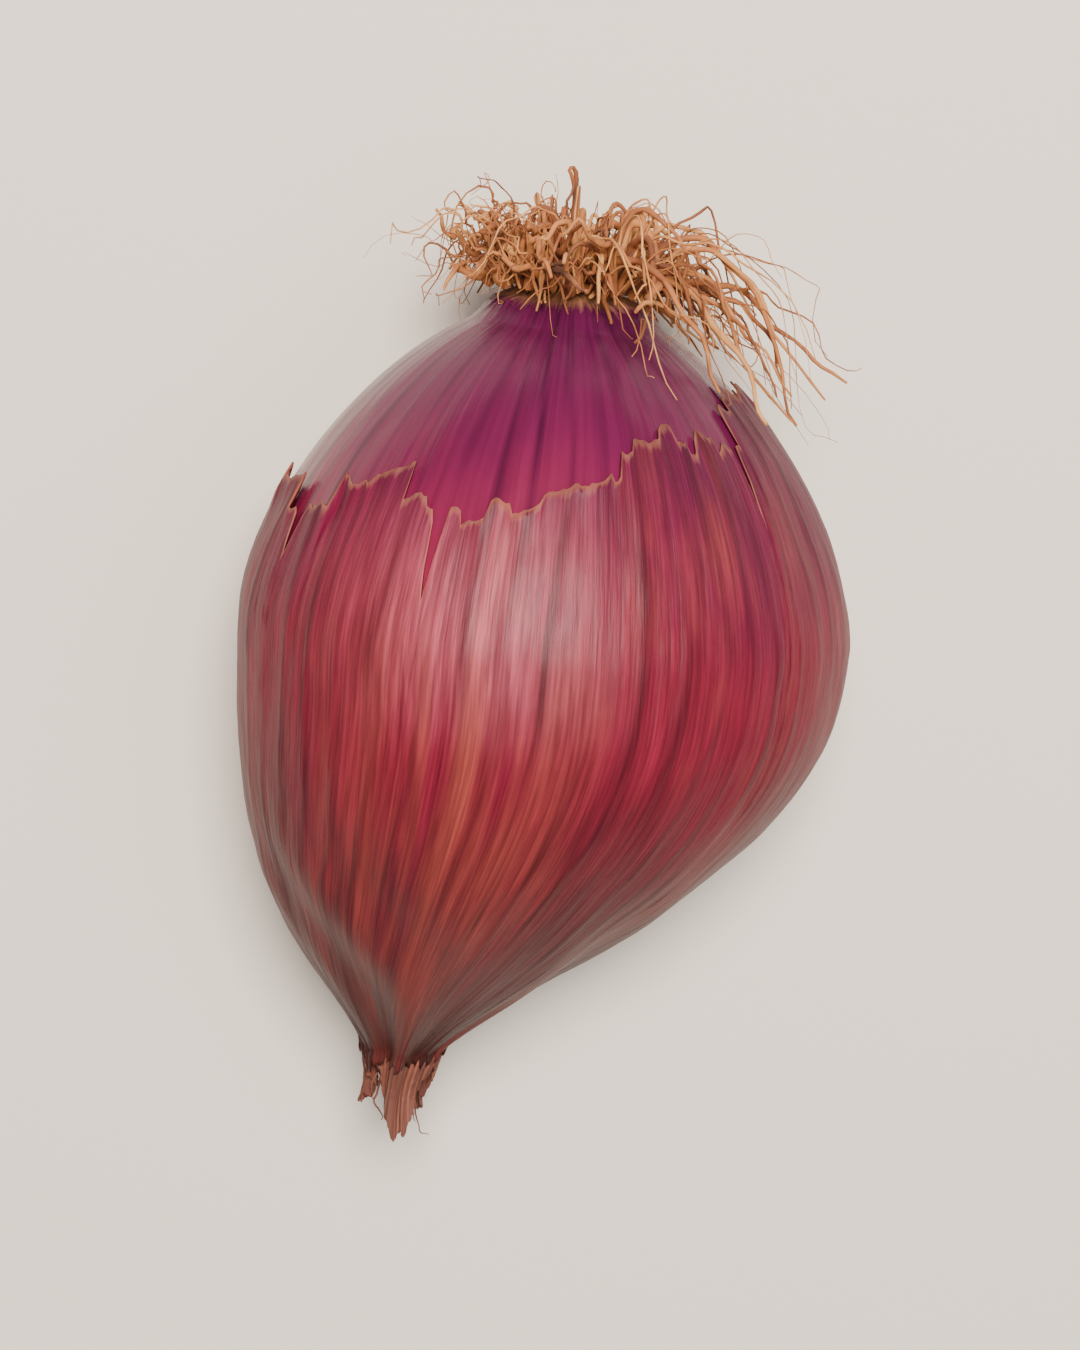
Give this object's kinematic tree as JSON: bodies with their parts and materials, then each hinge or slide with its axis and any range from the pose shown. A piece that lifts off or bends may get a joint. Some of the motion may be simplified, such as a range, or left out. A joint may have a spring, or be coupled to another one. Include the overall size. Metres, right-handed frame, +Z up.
{
  "type": "shallot",
  "caption": "Small red shallot with dry papery skin torn back from its purple root end, a slim leaning neck and a tuft of dried roots, lying on its side.",
  "frame": {"origin": "bottom centre of the whole shallot's box, on the surface that it rests on", "axes": "+X along the shallot from its roots to its neck, +Z up as it lies on its side"},
  "size_m": [0.0484, 0.03, 0.0263],
  "materials": {
    "bulb": "satin",
    "dry_skin": "satin",
    "dried_leaf": "matte",
    "dried_root": "matte"
  },
  "bodies": {
    "root": {"bulb": "bulb", "outer_skin": "dry_skin", "neck_leaf_1": "dried_leaf", "neck_leaf_2": "dried_leaf", "neck_leaf_3": "dried_leaf", "root_01": "dried_root", "root_02": "dried_root", "root_03": "dried_root", "root_04": "dried_root", "root_05": "dried_root", "root_06": "dried_root", "root_07": "dried_root", "root_08": "dried_root", "root_09": "dried_root", "root_10": "dried_root", "root_11": "dried_root", "root_12": "dried_root", "root_13": "dried_root", "root_14": "dried_root", "root_15": "dried_root", "root_16": "dried_root", "root_17": "dried_root", "root_18": "dried_root", "root_19": "dried_root", "root_20": "dried_root"}
  },
  "joints": []
}
